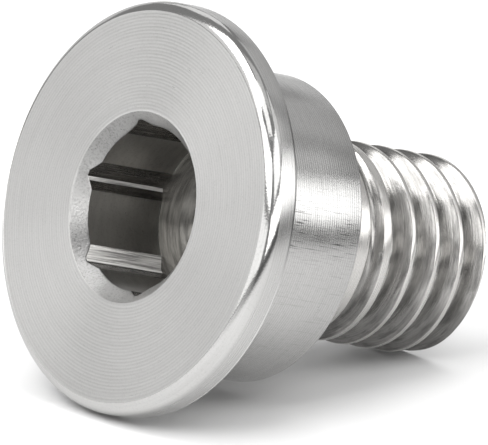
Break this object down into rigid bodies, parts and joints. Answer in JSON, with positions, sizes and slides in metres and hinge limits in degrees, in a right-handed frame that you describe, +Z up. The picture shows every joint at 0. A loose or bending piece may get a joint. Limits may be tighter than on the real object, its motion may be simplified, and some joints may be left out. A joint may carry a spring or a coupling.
{
  "type": "shoulder screw",
  "caption": "Turned shoulder screw with a thin wide head, hex socket and metric thread, for clamping and centring a brake rotor.",
  "frame": {"origin": "on the floor under the middle of the bounding box, with the screw lying as it comes to rest", "axes": "+X along the lying screw from head to tip, +Z up, +Y to its left seen from the head; the screw's own axis drops 17.0 degrees below +X towards the tip"},
  "size_m": [0.0175, 0.016, 0.0156],
  "materials": {
    "steel": "bare stainless steel with fine turning marks"
  },
  "bodies": {
    "root": {"screw": "steel"}
  },
  "joints": []
}
